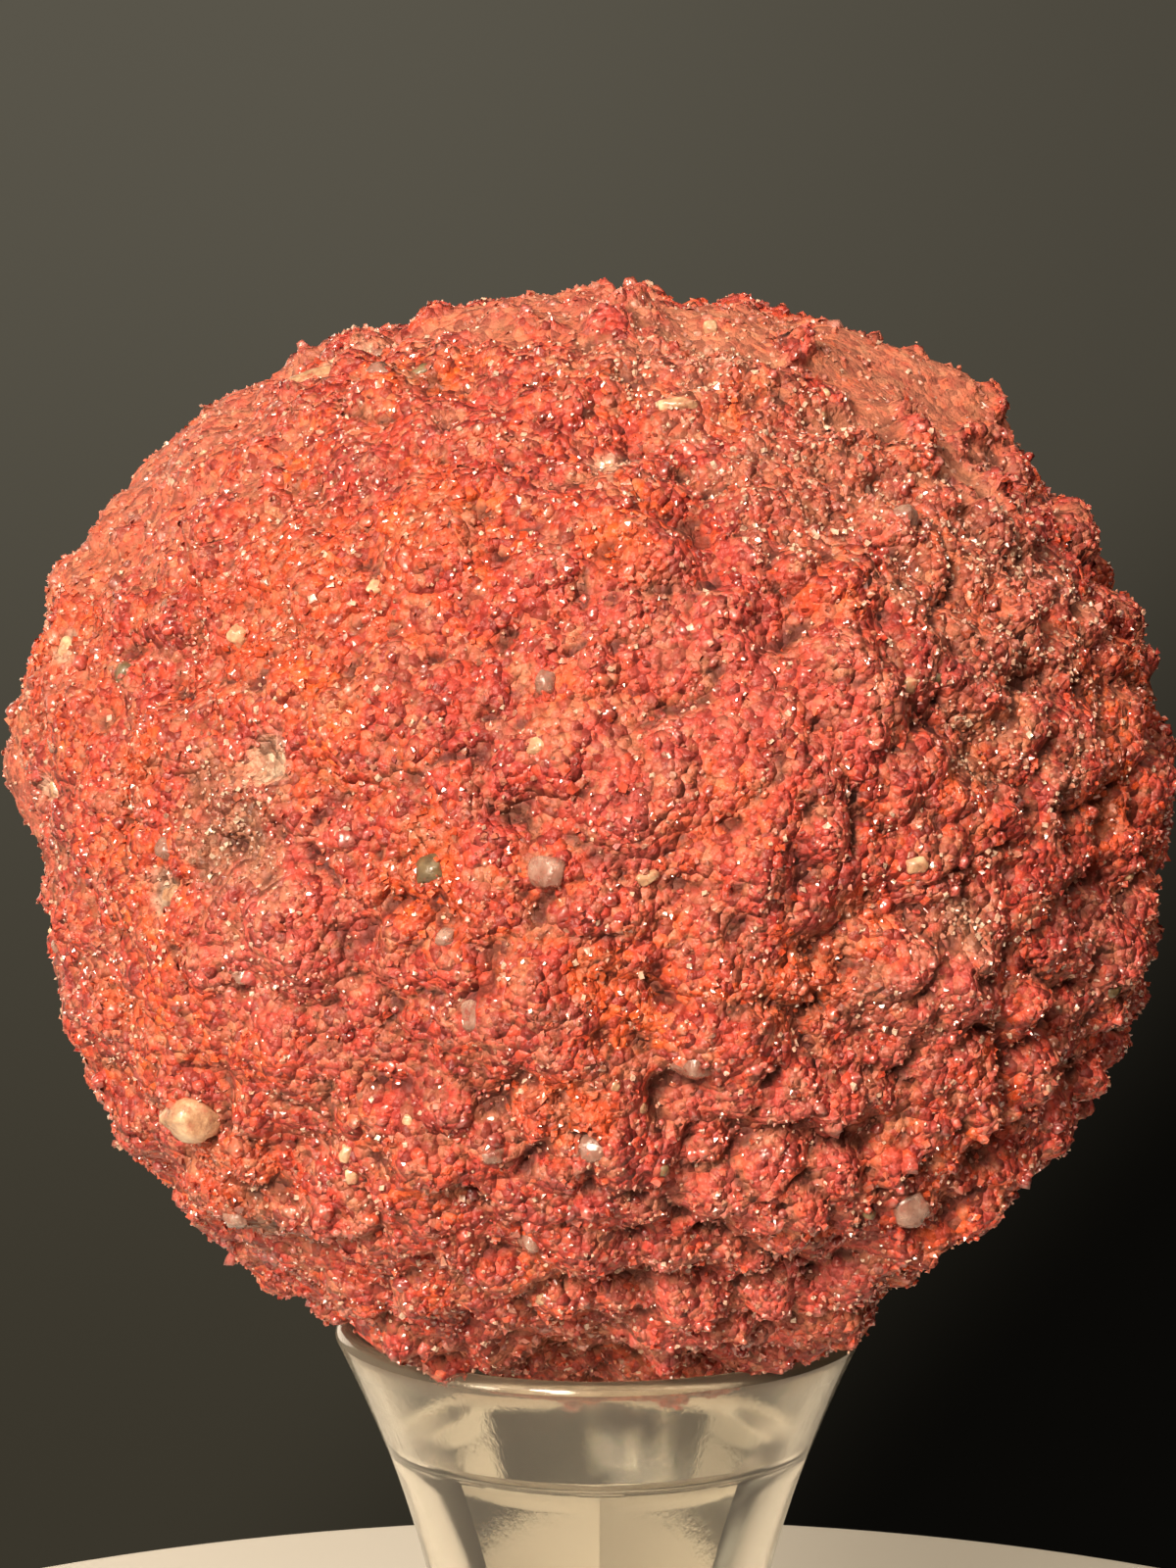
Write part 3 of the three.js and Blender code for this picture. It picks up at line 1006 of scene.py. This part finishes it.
INSETS = (
    Inset(InsetKind.PEBBLE, 217, 49, (2.2, 1.8, 1.4), 10),
    Inset(InsetKind.QUARTZ, 271, 28, (1.4, 1.3, 1.2)),
    Inset(InsetKind.QUARTZ, 295, 23, (1.3, 1.2, 0.9)),
    Inset(InsetKind.DARK, 192, 14, (1.1, 1.0, 0.8), 20),
    Inset(InsetKind.QUARTZ, 221, 5, (1.3, 1.1, 0.7)),
    Inset(InsetKind.PEBBLE, 326, 7, (0.9, 0.5, 0.6), 20),
    Inset(InsetKind.PEBBLE, 78, 44, (1.4, 0.5, 0.6), 5),
    Inset(InsetKind.PEBBLE, 236, 41, (0.5, 0.7, 0.5)),
    Inset(InsetKind.QUARTZ, 238, 18, (1.0, 1.2, 0.8), 15),
    Inset(InsetKind.PEBBLE, 86, 36, (0.5, 1.0, 0.6), 30),
    Inset(InsetKind.PEBBLE, 355, 30, (0.8, 0.6, 0.6)),
    Inset(InsetKind.PEBBLE, 25, 32, (0.7, 0.6, 0.5)),
    Inset(InsetKind.PEBBLE, 188, 42, (0.9, 0.8, 0.7)),
    Inset(InsetKind.PEBBLE, 120, 69, (2.9, 1.5, 1.2), 25),
    Inset(InsetKind.QUARTZ, 112, 68, (1.9, 1.3, 1.1), 10),
    Inset(InsetKind.PEBBLE, 160, 66, (0.6, 0.8, 0.5)),
    Inset(InsetKind.PEBBLE, 175, 64, (0.6, 0.8, 0.5)),
    Inset(InsetKind.DARK, 109, 54, (0.8, 0.5, 0.5), 40),
    Inset(InsetKind.QUARTZ, 228, 55, (0.9, 0.7, 0.7)),
    Inset(InsetKind.PEBBLE, 200, 104, (1.6, 1.2, 1.0), 30),
    Inset(InsetKind.QUARTZ, 70, 128, (1.8, 1.3, 1.0), 60),
    Inset(InsetKind.DARK, 310, 140, (1.3, 1.0, 0.8), 15),
)


@dataclass
class InsetGrains:
    """All the larger grains of one kind, joined in one mesh."""

    kind: InsetKind
    seed: int
    stray_count: int
    stray_mm: tuple[float, float]
    ball_level: int = 3

    def placed(self) -> list[Inset]:
        """The grains given one by one, and strays scattered over the whole stone."""
        random = np.random.default_rng(self.seed)
        low, high = self.stray_mm
        chosen = [inset for inset in INSETS if inset.kind is self.kind]
        for _ in range(self.stray_count):
            around, out = 360 * random.random(), math.degrees(math.acos(1 - 2 * random.random()))
            across = low + (high - low) * random.random() ** 2
            size = tuple(across * (0.7 + 0.5 * random.random(3)))
            chosen.append(Inset(self.kind, around, out, size, 180 * random.random()))
        return chosen

    def build(self, nodule: Nodule) -> bpy.types.Object:
        """Seats the grains in the stone's surface.

        Args:
            nodule: the built stone.

        Returns:
            The joined grains.
        """
        base, faces = ball(self.ball_level)
        insets = self.placed()
        side = math.ceil(math.sqrt(len(insets)))
        away = nodule.points - nodule.middle
        tree = tree_of(away / np.linalg.norm(away, axis=1)[:, None])
        points, triangles, uv, chance = [], [], [], []
        for number, inset in enumerate(insets):
            _, nearest, _ = tree.find(toward(inset.around, inset.out))
            up = nodule.normals[nearest]
            right = np.cross((0.0, 0.0, 1.0), up)
            right /= max(np.linalg.norm(right), 1e-6)
            turn = Matrix.Rotation(math.radians(inset.spin), 3, Vector(up))
            right = np.array(turn @ Vector(right))
            axes = np.stack([right, np.cross(up, right), up])
            rugged = [1 + 0.3 * noise.noise(Vector(p) * 1.3 + Vector((number * 3.1, 0, 0))) for p in base]
            squared = np.sign(base) * np.abs(base) ** 0.75
            shape = squared * np.array(rugged)[:, None] * np.array(inset.size_mm) / 2
            place = nodule.points[nearest] / MM - up * inset.size_mm[2] * 0.26
            points.append((shape @ axes + place) * MM)
            triangles.append(faces + number * len(base))
            uv.append(((base[:, :2] * 0.45 + 0.5)[faces.reshape(-1)] + (number % side, number // side)) / side)
            chance.append(np.full(len(base), (number * 0.618) % 1))
        name = self.kind.value
        grains = mesh_object(name, np.concatenate(points), np.concatenate(triangles), True, np.concatenate(uv))
        carry(grains.data, "chance", np.concatenate(chance))
        settle(grains)
        grains.data.materials.append(self.material())
        return grains

    def material(self) -> bpy.types.Material:
        """Makes the finish of this kind."""
        s = NodeSheet(bpy.data.materials.new(self.kind.value))
        at = s.millimetres()
        chance = s.attribute("chance")
        cloud = s.noise(at, 1.6, 4.0, 0.6)
        if self.kind is InsetKind.PEBBLE:
            colour = s.ramp(cloud, [(0.3, paint("8A5E46")), (0.5, paint("BE9270")), (0.68, paint("DEC09A"))])
            clear, rough = 0.0, 0.18
        elif self.kind is InsetKind.QUARTZ:
            colour = s.ramp(cloud, [(0.3, paint("A8705C")), (0.5, paint("C79684")), (0.7, paint("E0BCA8"))])
            clear, rough = 0.55, 0.12
        else:
            colour = s.ramp(cloud, [(0.3, paint("4A3A28")), (0.5, Tone.OLIVE.value), (0.7, paint("8A7352"))])
            clear, rough = 0.0, 0.3
        stain = s.noise(at, 2.6, 3.0, 0.6).rising(0.54, 0.66)
        colour = s.mix(stain * (0.25 + 0.4 * chance), colour, Tone.RED.value)
        height = 0.4 * s.facets(at, 2.4) + 0.08 * s.noise(at, 6.0, 3.0, 0.6)
        return s.finish({
            "Base Color": colour,
            "Roughness": rough + 0.25 * cloud,
            "Normal": s.bump(height, 0.6),
            "IOR": 1.55,
            "Transmission Weight": clear,
            "Coat Weight": 0.4,
            "Coat Roughness": 0.08,
        })


@dataclass
class Stand:
    """The clear moulded stand, as a loft of rings from its foot round the rim and down its bore."""

    node: str = "stand"
    height_mm: float = 34.4
    foot_radius_mm: float = 12.6
    foot_edge_mm: float = 0.9
    foot_bevel_mm: float = 0.3
    waist_radius_mm: float = 6.2
    waist_height_mm: float = 17.6
    rim_radius_mm: float = 10.8
    rim_wall_mm: float = 0.9
    bowl_depth_mm: float = 4.8
    bore_radius_mm: float = 4.1
    bore_mouth_mm: float = 7.05
    mouth_flare: float = 1.75
    foot_flare: float = 2.2
    around: int = 128
    waver_mm: float = 0.035

    def profile(self) -> list[tuple[float, float, float]]:
        """The rings from the bore's mouth, down it, out over the foot, up the outside and into the bowl.

        Returns:
            Each ring's radius and height in millimetres, and how eight-sided it is, from 0 to 1.
        """
        def flare(end: float, height: float, power: float, t: float) -> tuple[float, float, float]:
            """One ring of the outside, between the waist and the end given."""
            radius = self.waist_radius_mm + (end - self.waist_radius_mm) * t**power
            return radius, self.waist_height_mm + (height - self.waist_height_mm) * t, 0.0

        floor = self.height_mm - self.bowl_depth_mm
        base = self.height_mm - self.rim_wall_mm / 2
        half_wall = self.rim_wall_mm / 2
        waist = self.waist_height_mm
        widening = self.bore_mouth_mm - self.bore_radius_mm
        lip = floor - 0.25
        rings = [(self.bore_mouth_mm + 0.18, floor, 0.75), (self.bore_mouth_mm + 0.03, floor - 0.08, 0.95)]
        for k in range(16):
            height = lip + (waist - lip) * k / 16
            share = (height - waist) / (floor - waist)
            rings.append((self.bore_radius_mm + widening * share**self.mouth_flare, height, 1.0))
        rings += [(self.bore_radius_mm, self.waist_height_mm * (1 - k / 10), 1.0) for k in range(11)]
        rings += [(radius, 0.0, 0.0) for radius in (7.0, 10.0, self.foot_radius_mm - self.foot_bevel_mm)]
        rings.append((self.foot_radius_mm - 0.05, 0.15, 0.0))
        rings += [flare(self.foot_radius_mm, self.foot_edge_mm, self.foot_flare, 1 - k / 26) for k in range(27)]
        rings += [flare(self.rim_radius_mm, base, self.mouth_flare, k / 30) for k in range(1, 31)]
        for k in range(1, 11):
            turn = math.pi * k / 10
            radius = self.rim_radius_mm - half_wall + half_wall * math.cos(turn)
            rings.append((radius, base + half_wall * math.sin(turn), 0.0))
        round_mm = 0.2
        for k in range(1, 17):
            inside = base + (floor + round_mm - base) * k / 16
            radius, height, _ = flare(self.rim_radius_mm, base, self.mouth_flare, (inside - waist) / (base - waist))
            rings.append((radius - self.rim_wall_mm, height, 0.0))
        rings += [(radius - self.rim_wall_mm - 0.15, floor + 0.05, 0.0), (radius - self.rim_wall_mm - 0.3, floor, 0.0)]
        return rings

    def build(self) -> bpy.types.Object:
        """Builds the stand where its CAD node is.

        Returns:
            The stand, riding on the model's body in place of its CAD node.
        """
        low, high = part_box(self.node)
        centre_x, centre_y = (low.x + high.x) / 2 / MM, (low.y + high.y) / 2 / MM
        turn = np.arange(self.around) * 2 * math.pi / self.around
        eighth = math.pi / 4
        octagon = math.cos(eighth / 2) / np.cos(turn % eighth - eighth / 2)
        rows = []
        for radius, height, share in self.profile():
            reach = radius * (1 - share + share * octagon)
            ring = np.stack([reach * np.cos(turn), reach * np.sin(turn), np.full(self.around, height)], 1)
            if height > 1.0:
                waver = [noise.noise((x * 0.25, y * 0.25, z * 0.12)) for x, y, z in ring]
                ring[:, :2] *= 1 + self.waver_mm * np.array(waver)[:, None] / radius
            rows.append(ring + (centre_x, centre_y, 0))
        count = len(rows)
        i, j = np.meshgrid(np.arange(count), np.arange(self.around), indexing="ij")
        onward, across = (i + 1) % count, (j + 1) % self.around
        corners = np.stack([i, i, onward, onward], -1), np.stack([j, across, across, j], -1)
        quads = (corners[0] * self.around + corners[1]).reshape(-1, 4)
        u = np.stack([j, j + 1, j + 1, j], -1) / self.around
        v = np.stack([i, i, i + 1, i + 1], -1) / count
        uv = np.stack([u, v], -1).reshape(-1, 2)
        stand = mesh_object("clear_stand", np.concatenate(rows) * MM, quads, True, uv)
        stand.data.set_sharp_from_angle(angle=math.radians(28))
        settle(stand)
        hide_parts(self.node)
        stand.data.materials.append(self.material())
        return stand

    def material(self) -> bpy.types.Material:
        """Makes the clear plastic, slightly milky, with a dusty rim and fine rubbing marks."""
        s = NodeSheet(bpy.data.materials.new("clear_plastic"))
        at = s.millimetres()
        height = s.add("ShaderNodeSeparateXYZ", {}, {0: at}, out=2)
        scuff = s.noise(at, 0.9, 5.0, 0.7)
        marks = s.noise(s.stretched(at, (3.0, 3.0, 0.25)), 1.2, 4.0, 0.7)
        lip = height.rising(self.height_mm - 1.6, self.height_mm - 0.3)
        tint = s.mix(lip * 0.6, paint("F3EEE2"), paint("C9AE8C"))
        bump = s.bump(0.02 * marks + 0.01 * scuff, 0.3)
        clear = s.add("ShaderNodeBsdfPrincipled", {}, {
            "Base Color": tint,
            "Roughness": 0.02 + 0.08 * scuff,
            "Normal": bump,
            "IOR": 1.49,
            "Transmission Weight": 1.0,
        })
        milky = s.add("ShaderNodeBsdfPrincipled", {}, {
            "Base Color": s.mix(lip * 0.7, paint("E9E1CF"), paint("8C6E54")),
            "Roughness": 0.35,
            "Normal": bump,
            "IOR": 1.49,
        })
        edge = s.add("ShaderNodeLayerWeight", {}, {"Blend": 0.35}, out="Facing")
        haze = 0.004 + 0.01 * scuff + 0.12 * lip + 0.3 * edge * edge * edge
        surface = s.add("ShaderNodeMixShader", {}, {0: haze, 1: clear, 2: milky})
        s.add("ShaderNodeOutputMaterial", {}, {"Surface": surface})
        return s.owner


@dataclass(frozen=True)
class Lamp:
    """One soft square lamp that faces the stone."""

    name: str
    around: float
    out: float
    distance_mm: float
    width_mm: float
    watts: float
    colour: tuple[float, float, float]


@dataclass
class Studio:
    """The pale floor, the dark surround, the lamps and the camera."""

    middle: np.ndarray
    floor_radius_mm: float = 72.0
    floor_centre_mm: tuple[float, float] = (1.0, 15.0)
    floor_edge_mm: float = 3.0
    camera_distance_mm: float = 125.0
    photo_size: tuple[float, float] = (1200.0, 1600.0)
    photo_focal: float = 3125.0
    stone_in_photo: tuple[float, float] = (596.0, 851.0)
    sensor_mm: float = 36.0
    lamps: tuple[Lamp, ...] = (
        Lamp("key_light", 136, 28, 260, 80, 1.06, (1.0, 0.85, 0.68)),
        Lamp("spark_light", 150, 18, 300, 60, 0.3, (1.0, 0.88, 0.74)),
        Lamp("side_light", 170, 48, 300, 60, 0.12, (1.0, 0.86, 0.7)),
        Lamp("low_light", 214, 40, 320, 200, 0.06, (1.0, 0.83, 0.66)),
        Lamp("right_light", 66, 46, 320, 240, 0.27, (1.0, 0.8, 0.6)),
        Lamp("top_light", 50, 84, 340, 260, 0.24, (1.0, 0.84, 0.68)),
        Lamp("back_light", 150, 150, 340, 220, 0.3, (1.0, 0.82, 0.64)),
    )

    def floor(self) -> bpy.types.Object:
        """A round, pale floor with a soft edge."""
        profile = [(0.0, 0.0), (self.floor_radius_mm - self.floor_edge_mm, 0.0)]
        for k in range(1, 9):
            turn = math.pi / 2 * k / 8
            radius = self.floor_radius_mm - self.floor_edge_mm * (1 - math.sin(turn))
            profile.append((radius, -self.floor_edge_mm * (1 - math.cos(turn))))
        profile.append((self.floor_radius_mm, -14.0))
        profile.append((0.0, -14.0))
        shape = bmesh.new()
        steps = 160
        x, y = self.floor_centre_mm
        rings = []
        for radius, z in profile[1:-1]:
            angles = [2 * math.pi * k / steps for k in range(steps)]
            spots = [((x + radius * math.cos(a)) * MM, (y + radius * math.sin(a)) * MM, z * MM) for a in angles]
            rings.append([shape.verts.new(spot) for spot in spots])
        shape.faces.new(rings[0])
        for upper, lower in zip(rings, rings[1:]):
            for k in range(steps):
                shape.faces.new((upper[k - 1], lower[k - 1], lower[k], upper[k]))
        shape.faces.new(rings[-1][::-1])
        mesh = bpy.data.meshes.new("floor")
        shape.to_mesh(mesh)
        shape.free()
        mesh.shade_smooth()
        mesh.set_sharp_from_angle(angle=math.radians(40))
        floor = bpy.data.objects.new("floor", mesh)
        bpy.context.scene.collection.objects.link(floor)
        floor.location.z = -0.02 * MM
        s = NodeSheet(bpy.data.materials.new("pale_floor"))
        cloud = s.noise(s.millimetres(), 0.02, 3.0, 0.5)
        colour = s.mix(cloud, paint("F2EDE2"), paint("EAE5DA"))
        mesh.materials.append(s.finish({"Base Color": colour, "Roughness": 0.55}))
        return floor

    def surround(self) -> None:
        """A dark, warm grey room with a pale wall on the left, darker low on the right."""
        world = bpy.data.worlds.new("surround")
        bpy.context.scene.world = world
        s = NodeSheet(world)
        way = s.add("ShaderNodeTexCoord", {}, {}, out="Generated")
        way_x = s.add("ShaderNodeSeparateXYZ", {}, {0: way})
        height = way_x.beside("Z")
        dark = s.add("ShaderNodeVectorMath", {"operation": "DOT_PRODUCT"}, {0: way, 1: (1.0, 0.0, -0.9)}, out="Value")
        wall = s.mix(height.rising(-0.3, 0.25), paint("3A362C"), paint("5A564B"))
        wall = s.mix(way_x.rising(-0.1, 0.25) * 0.45, wall, paint("322E26"))
        wall = s.mix(way_x.beside("Y").rising(0.1, -0.3) * 0.75, wall, paint("1A1814"))
        wall = s.mix(way_x.rising(-0.35, -0.75), wall, paint("CFC3A8"))
        colour = s.mix(dark.rising(0.12, 0.36), wall, paint("0A0907"))
        room = s.add("ShaderNodeBackground", {}, {"Color": colour, "Strength": 1.0})
        s.add("ShaderNodeOutputWorld", {}, {"Surface": room})

    def light(self) -> None:
        """Hangs the lamps."""
        for lamp in self.lamps:
            data = bpy.data.lights.new(lamp.name, "AREA")
            data.shape = "DISK"
            data.size = lamp.width_mm * MM
            data.energy = lamp.watts
            data.color = lamp.colour
            holder = bpy.data.objects.new(lamp.name, data)
            bpy.context.scene.collection.objects.link(holder)
            way = Vector(toward(lamp.around, lamp.out))
            holder.location = Vector(self.middle) + way * lamp.distance_mm * MM
            holder.rotation_euler = (-way).to_track_quat("-Z", "Y").to_euler()

    def camera(self) -> bpy.types.Object:
        """The camera, where the photograph was taken from, with the stone where the photograph has it."""
        data = bpy.data.cameras.new("camera")
        data.sensor_width = self.sensor_mm
        data.lens = self.photo_focal / self.photo_size[1] * self.sensor_mm
        data.clip_start = 0.005
        camera = bpy.data.objects.new("camera", data)
        bpy.context.scene.collection.objects.link(camera)
        camera.location = Vector(self.middle + toward(0, 0) * self.camera_distance_mm * MM)
        right = (self.photo_size[0] / 2 - self.stone_in_photo[0]) / self.photo_focal
        above = (self.stone_in_photo[1] - self.photo_size[1] / 2) / self.photo_focal
        turn, drop = math.atan(right), math.radians(FRONT_TILT) - math.atan(above)
        ahead = Vector((math.sin(turn) * math.cos(drop), math.cos(turn) * math.cos(drop), -math.sin(drop)))
        camera.rotation_euler = ahead.to_track_quat("-Z", "Y").to_euler()
        bpy.context.scene.camera = camera
        return camera


def main() -> None:
    """Builds the specimen and the scene around it, in order."""
    logging.basicConfig(level=logging.INFO, format="%(name)s: %(message)s")
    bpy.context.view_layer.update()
    nodule = Nodule()
    stone = nodule.build()
    stone.data.materials.append(RockFinish().material())
    pieces = [stone]
    pieces += [coat.build(nodule) for coat in COATS]
    pieces.append(InsetGrains(InsetKind.PEBBLE, 61, 46, (0.35, 0.8)).build(nodule))
    pieces.append(InsetGrains(InsetKind.QUARTZ, 62, 40, (0.5, 1.3)).build(nodule))
    pieces.append(InsetGrains(InsetKind.DARK, 63, 18, (0.4, 0.9), 2).build(nodule))
    pieces.append(Stand().build())
    for piece in pieces:
        log.info("%s: %d faces", piece.name, len(piece.data.polygons))
    studio = Studio(nodule.middle)
    studio.floor()
    studio.surround()
    studio.light()
    studio.camera()
    bpy.context.scene.view_settings.view_transform = "Standard"


if __name__ == "__main__":
    main()
